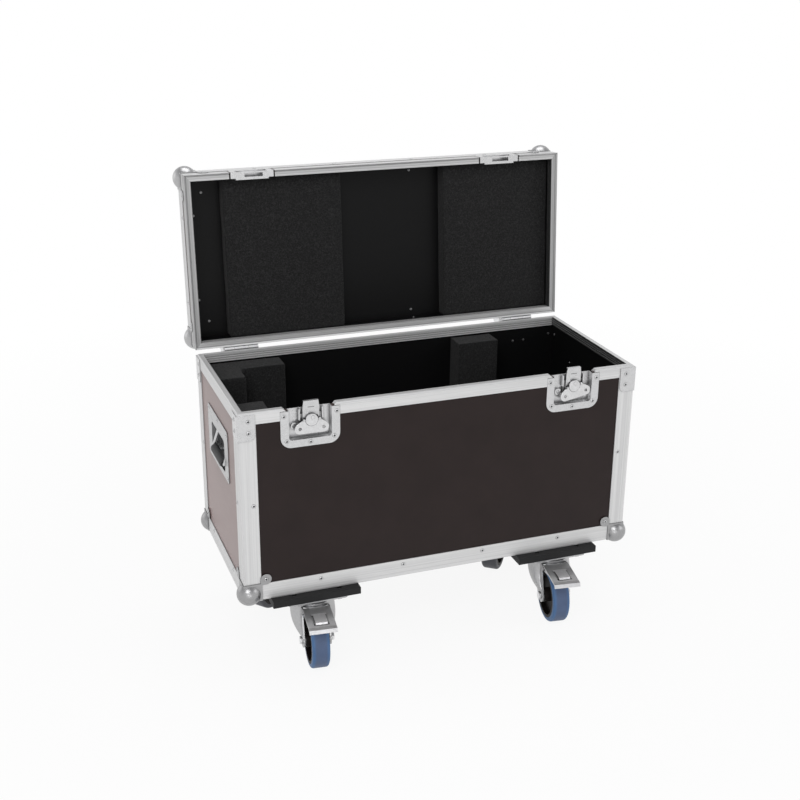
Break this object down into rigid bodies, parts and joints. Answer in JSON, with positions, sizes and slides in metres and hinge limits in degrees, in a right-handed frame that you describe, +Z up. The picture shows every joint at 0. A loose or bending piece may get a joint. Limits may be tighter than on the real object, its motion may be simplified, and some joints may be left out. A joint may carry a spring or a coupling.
{
  "type": "flight case",
  "caption": "Wheeled flight case with open lid, aluminium edging, ball corners, butterfly latches, recessed end handles, foam blocks and braked castors.",
  "frame": {"origin": "middle of the bottom panel's underside", "axes": "+X along the case to its right end, -Y to the front with the latches, +Z up"},
  "size_m": [0.735, 0.4921, 0.7974],
  "materials": {
    "film_faced_ply": "satin",
    "aluminium_profile": "satin",
    "zinc_steel": "satin",
    "black_board": "matte",
    "foam": "matte",
    "black_grip": "satin",
    "black_hub": "matte",
    "blue_tread": "satin"
  },
  "bodies": {
    "case": {"base_bottom_panel": "film_faced_ply", "base_front_panel": "film_faced_ply", "base_back_panel": "film_faced_ply", "base_end_panels": "film_faced_ply", "base_corner_posts": "aluminium_profile", "base_bottom_edging": "aluminium_profile", "base_rim": "aluminium_profile", "base_ball_corners": "zinc_steel", "base_corner_braces": "zinc_steel", "castor_boards": "black_board", "castor_plates": "zinc_steel", "castor_kingpins": "zinc_steel", "castor_bolts": "zinc_steel", "foam_back_left": "foam", "foam_front_left": "foam", "foam_back_right": "foam", "hinge_body_leaves": "zinc_steel", "hinge_pins": "zinc_steel", "latch_dishes": "zinc_steel", "handle_dishes": "zinc_steel"},
    "lid": {"lid_top_panel": "film_faced_ply", "lid_wall_panels": "film_faced_ply", "lid_edging": "aluminium_profile", "lid_rim": "aluminium_profile", "lid_ball_corners": "zinc_steel", "lid_keepers": "zinc_steel", "hinge_lid_leaves": "zinc_steel", "foam_lid_left": "foam", "foam_lid_right": "foam"},
    "left_rotor": {"left_latch_rotor": "zinc_steel"},
    "left_wing": {"left_latch_wing": "zinc_steel"},
    "left_follower": {"left_latch_follower": "zinc_steel"},
    "left_hook": {"left_latch_hook": "zinc_steel"},
    "left_handle": {"left_handle_bail": "zinc_steel", "left_handle_grip": "black_grip"},
    "right_rotor": {"right_latch_rotor": "zinc_steel"},
    "right_wing": {"right_latch_wing": "zinc_steel"},
    "right_follower": {"right_latch_follower": "zinc_steel"},
    "right_hook": {"right_latch_hook": "zinc_steel"},
    "right_handle": {"right_handle_bail": "zinc_steel", "right_handle_grip": "black_grip"},
    "front_left_castor": {"front_left_fork": "zinc_steel", "front_left_axle": "zinc_steel"},
    "front_left_wheel": {"front_left_wheel_hub": "black_hub", "front_left_wheel_tread": "blue_tread"},
    "front_left_pedal": {"front_left_brake_pedal": "zinc_steel"},
    "front_right_castor": {"front_right_fork": "zinc_steel", "front_right_axle": "zinc_steel"},
    "front_right_wheel": {"front_right_wheel_hub": "black_hub", "front_right_wheel_tread": "blue_tread"},
    "front_right_pedal": {"front_right_brake_pedal": "zinc_steel"},
    "rear_left_castor": {"rear_left_fork": "zinc_steel", "rear_left_axle": "zinc_steel"},
    "rear_left_wheel": {"rear_left_wheel_hub": "black_hub", "rear_left_wheel_tread": "blue_tread"},
    "rear_right_castor": {"rear_right_fork": "zinc_steel", "rear_right_axle": "zinc_steel"},
    "rear_right_wheel": {"rear_right_wheel_hub": "black_hub", "rear_right_wheel_tread": "blue_tread"}
  },
  "joints": [
    {"name": "lid_hinge", "type": "hinge", "parent": "case", "child": "lid", "pos_m": [0, 0.16, 0.33665], "axis": [1, 0, 0], "range_deg": [0, 94.4]},
    {"name": "left_latch_turn", "type": "hinge", "parent": "case", "child": "left_rotor", "pos_m": [-0.2318, -0.149, 0.3157], "axis": [0, 1, 0], "range_deg": [0, 181]},
    {"name": "left_wing_fold", "type": "hinge", "parent": "left_rotor", "child": "left_wing", "pos_m": [-0.2337, -0.1524, 0.3115], "axis": [-1, 0, 0], "range_deg": [0, 90]},
    {"name": "left_hook_lift", "type": "slide", "parent": "case", "child": "left_follower", "axis": [0, 0, 1], "range_m": [0, 0.008]},
    {"name": "left_hook_tilt", "type": "hinge", "parent": "left_follower", "child": "left_hook", "pos_m": [-0.234, -0.1473, 0.2993], "axis": [-1, 0, 0], "range_deg": [0, 3]},
    {"name": "right_latch_turn", "type": "hinge", "parent": "case", "child": "right_rotor", "pos_m": [0.2414, -0.149, 0.3157], "axis": [0, 1, 0], "range_deg": [0, 192]},
    {"name": "right_wing_fold", "type": "hinge", "parent": "right_rotor", "child": "right_wing", "pos_m": [0.24034, -0.1524, 0.31122], "axis": [-0.9816, 0, -0.1908], "range_deg": [0, 90]},
    {"name": "right_hook_lift", "type": "slide", "parent": "case", "child": "right_follower", "axis": [0, 0, 1], "range_m": [0, 0.008]},
    {"name": "right_hook_tilt", "type": "hinge", "parent": "right_follower", "child": "right_hook", "pos_m": [0.2392, -0.1473, 0.2993], "axis": [-1, 0, 0], "range_deg": [0, 3]},
    {"name": "left_handle_swing", "type": "hinge", "parent": "case", "child": "left_handle", "pos_m": [-0.3447, 0, 0.2385], "axis": [0, 1, 0], "range_deg": [0, 90]},
    {"name": "right_handle_swing", "type": "hinge", "parent": "case", "child": "right_handle", "pos_m": [0.3447, 0, 0.2385], "axis": [0, -1, 0], "range_deg": [0, 90]},
    {"name": "front_left_swivel", "type": "hinge", "parent": "case", "child": "front_left_castor", "pos_m": [-0.2325, -0.128, -0.0228], "axis": [0, 0, 1], "continuous": true},
    {"name": "front_left_roll", "type": "hinge", "parent": "front_left_castor", "child": "front_left_wheel", "pos_m": [-0.23626, -0.1638, -0.09], "axis": [0.9945, -0.1045, 0], "continuous": true},
    {"name": "front_left_brake", "type": "hinge", "parent": "front_left_castor", "child": "front_left_pedal", "pos_m": [-0.23616, -0.16281, -0.0345], "axis": [0.9945, -0.1045, 0], "range_deg": [0, 10]},
    {"name": "front_right_swivel", "type": "hinge", "parent": "case", "child": "front_right_castor", "pos_m": [0.222, -0.128, -0.0228], "axis": [0, 0, 1], "continuous": true},
    {"name": "front_right_roll", "type": "hinge", "parent": "front_right_castor", "child": "front_right_wheel", "pos_m": [0.21699, -0.16365, -0.09], "axis": [0.9903, -0.1392, 0], "continuous": true},
    {"name": "front_right_brake", "type": "hinge", "parent": "front_right_castor", "child": "front_right_pedal", "pos_m": [0.21713, -0.16266, -0.0345], "axis": [0.9903, -0.1392, 0], "range_deg": [0, 10]},
    {"name": "rear_left_swivel", "type": "hinge", "parent": "case", "child": "rear_left_castor", "pos_m": [-0.2345, 0.0805, -0.0228], "axis": [0, 0, 1], "continuous": true},
    {"name": "rear_left_roll", "type": "hinge", "parent": "rear_left_castor", "child": "rear_left_wheel", "pos_m": [-0.26208, 0.05736, -0.09], "axis": [0.6428, -0.766, 0], "continuous": true},
    {"name": "rear_right_swivel", "type": "hinge", "parent": "case", "child": "rear_right_castor", "pos_m": [0.218, 0.0805, -0.0228], "axis": [0, 0, 1], "continuous": true},
    {"name": "rear_right_roll", "type": "hinge", "parent": "rear_right_castor", "child": "rear_right_wheel", "pos_m": [0.19584, 0.05213, -0.09], "axis": [0.788, -0.6157, 0], "continuous": true}
  ],
  "couplings": [
    {"joint": "left_latch_turn", "follows": "left_hook_lift", "rad_per_m": 392.7},
    {"joint": "right_latch_turn", "follows": "right_hook_lift", "rad_per_m": 416.7}
  ]
}
